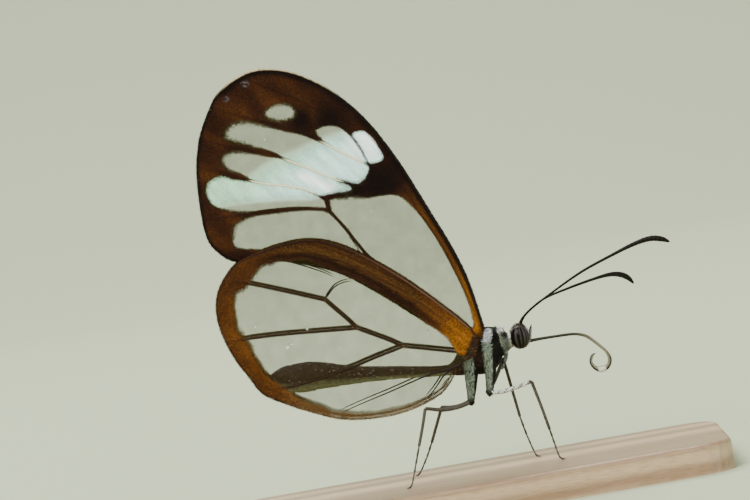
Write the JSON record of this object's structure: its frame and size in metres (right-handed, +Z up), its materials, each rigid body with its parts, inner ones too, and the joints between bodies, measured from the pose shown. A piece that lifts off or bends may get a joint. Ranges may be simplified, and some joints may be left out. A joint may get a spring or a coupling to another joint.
{
  "type": "glasswing butterfly display model",
  "caption": "Clear-winged butterfly standing with its wings closed over its back, at life size, on a plain flat base.",
  "frame": {"origin": "centre of the base's underside", "axes": "+X the way the butterfly faces and along the base, +Y towards the butterfly's left side, +Z up"},
  "size_m": [0.04, 0.02, 0.0371],
  "materials": {
    "body_scales": "matt dark scales with pale stripes",
    "leg_scales": "matt grey-brown scales",
    "eye_facets": "satin, finely faceted",
    "feeler_dark": "matt near-black",
    "wing_membrane": "clear membrane with brown scaled borders",
    "stand_wood": "satin pale wood"
  },
  "bodies": {
    "root": {"abdomen": "body_scales", "antenna_left": "feeler_dark", "antenna_right": "feeler_dark", "coxa_hind_left": "leg_scales", "coxa_hind_right": "leg_scales", "coxa_mid_left": "leg_scales", "coxa_mid_right": "leg_scales", "eye_left": "eye_facets", "eye_right": "eye_facets", "femur_hind_left": "leg_scales", "femur_hind_right": "leg_scales", "femur_mid_left": "leg_scales", "femur_mid_right": "leg_scales", "foreleg_left": "leg_scales", "foreleg_right": "leg_scales", "forewing_left": "wing_membrane", "forewing_right": "wing_membrane", "head": "body_scales", "hindwing_left": "wing_membrane", "hindwing_right": "wing_membrane", "palp_left": "body_scales", "palp_right": "body_scales", "prothorax": "body_scales", "stand_base": "stand_wood", "tarsus_hind_left": "leg_scales", "tarsus_hind_right": "leg_scales", "tarsus_mid_left": "leg_scales", "tarsus_mid_right": "leg_scales", "thorax": "body_scales", "tibia_hind_left": "leg_scales", "tibia_hind_right": "leg_scales", "tibia_mid_left": "leg_scales", "tibia_mid_right": "leg_scales", "tongue_bend": "feeler_dark", "tongue_curl": "feeler_dark", "tongue_shaft": "feeler_dark"}
  },
  "joints": []
}
